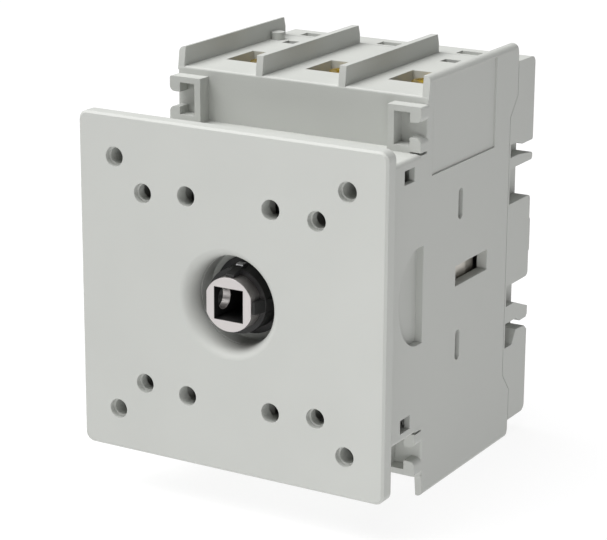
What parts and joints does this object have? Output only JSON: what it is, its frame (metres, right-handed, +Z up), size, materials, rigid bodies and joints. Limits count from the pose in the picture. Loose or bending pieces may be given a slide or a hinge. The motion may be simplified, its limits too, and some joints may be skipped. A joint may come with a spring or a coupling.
{
  "type": "switch disconnector",
  "caption": "Behind-panel rotary load break switch: square front plate with a square drive socket, case with pole barriers, cage terminals and a sliding contact carrier.",
  "frame": {"origin": "centre of the front plate's front face, on the turning axis of the drive socket", "axes": "+X to the right seen from the front, +Y from the plate to the back of the switch, +Z up to the line side"},
  "size_m": [0.09, 0.098, 0.1126],
  "materials": {
    "grey_plastic": "fine satin, light grey",
    "black_plastic": "satin black",
    "dark_plastic": "satin dark brown",
    "sintered_metal": "pressed and sintered, satin",
    "zinc_steel": "zinc plated",
    "cage_steel": "zinc plated, passivated",
    "spring_steel": "polished strip",
    "copper": "copper strip with silver tips",
    "brass": "yellow plated screw"
  },
  "bodies": {
    "switch_body": {"front_plate": "grey_plastic", "latch_cover": "grey_plastic", "housing": "grey_plastic", "rear_base": "grey_plastic", "base_screws": "zinc_steel", "fixed_contact_line_1": "copper", "terminal_cage_line_1": "cage_steel", "terminal_screw_line_1": "brass", "fixed_contact_line_2": "copper", "terminal_cage_line_2": "cage_steel", "terminal_screw_line_2": "brass", "fixed_contact_line_3": "copper", "terminal_cage_line_3": "cage_steel", "terminal_screw_line_3": "brass", "fixed_contact_load_1": "copper", "terminal_cage_load_1": "cage_steel", "terminal_screw_load_1": "brass", "fixed_contact_load_2": "copper", "terminal_cage_load_2": "cage_steel", "terminal_screw_load_2": "brass", "fixed_contact_load_3": "copper", "terminal_cage_load_3": "cage_steel", "terminal_screw_load_3": "brass", "detent_spring_upper": "spring_steel", "detent_spring_lower": "spring_steel"},
    "rotor": {"drive_hub": "black_plastic", "drive_socket": "sintered_metal"},
    "carrier": {"contact_carrier": "dark_plastic", "cam_pin_right": "zinc_steel", "cam_pin_left": "zinc_steel", "auxiliary_driver_right": "zinc_steel", "auxiliary_driver_left": "zinc_steel", "contact_spring_1": "spring_steel", "contact_spring_2": "spring_steel", "contact_spring_3": "spring_steel"},
    "bridge_1": {"contact_bridge_1": "copper"},
    "bridge_2": {"contact_bridge_2": "copper"},
    "bridge_3": {"contact_bridge_3": "copper"}
  },
  "joints": [
    {"name": "drive_rotation", "type": "hinge", "parent": "switch_body", "child": "rotor", "pos_m": [0, 0, 0], "axis": [0, 1, 0], "range_deg": [0, 90], "deforming": ["detent_spring_upper", "detent_spring_lower"]},
    {"name": "carrier_slide", "type": "slide", "parent": "switch_body", "child": "carrier", "axis": [0, 1, 0], "range_m": [0, 0.007]},
    {"name": "bridge_1_overtravel", "type": "slide", "parent": "carrier", "child": "bridge_1", "axis": [0, -1, 0], "range_m": [0, 0.0015], "stiffness_N_per_m": 4000, "springref_m": -0.002, "deforming": ["contact_spring_1"]},
    {"name": "bridge_2_overtravel", "type": "slide", "parent": "carrier", "child": "bridge_2", "axis": [0, -1, 0], "range_m": [0, 0.0015], "stiffness_N_per_m": 4000, "springref_m": -0.002, "deforming": ["contact_spring_2"]},
    {"name": "bridge_3_overtravel", "type": "slide", "parent": "carrier", "child": "bridge_3", "axis": [0, -1, 0], "range_m": [0, 0.0015], "stiffness_N_per_m": 4000, "springref_m": -0.002, "deforming": ["contact_spring_3"]}
  ],
  "couplings": [
    {"joint": "drive_rotation", "follows": "carrier_slide", "rad_per_m": 224.4}
  ]
}
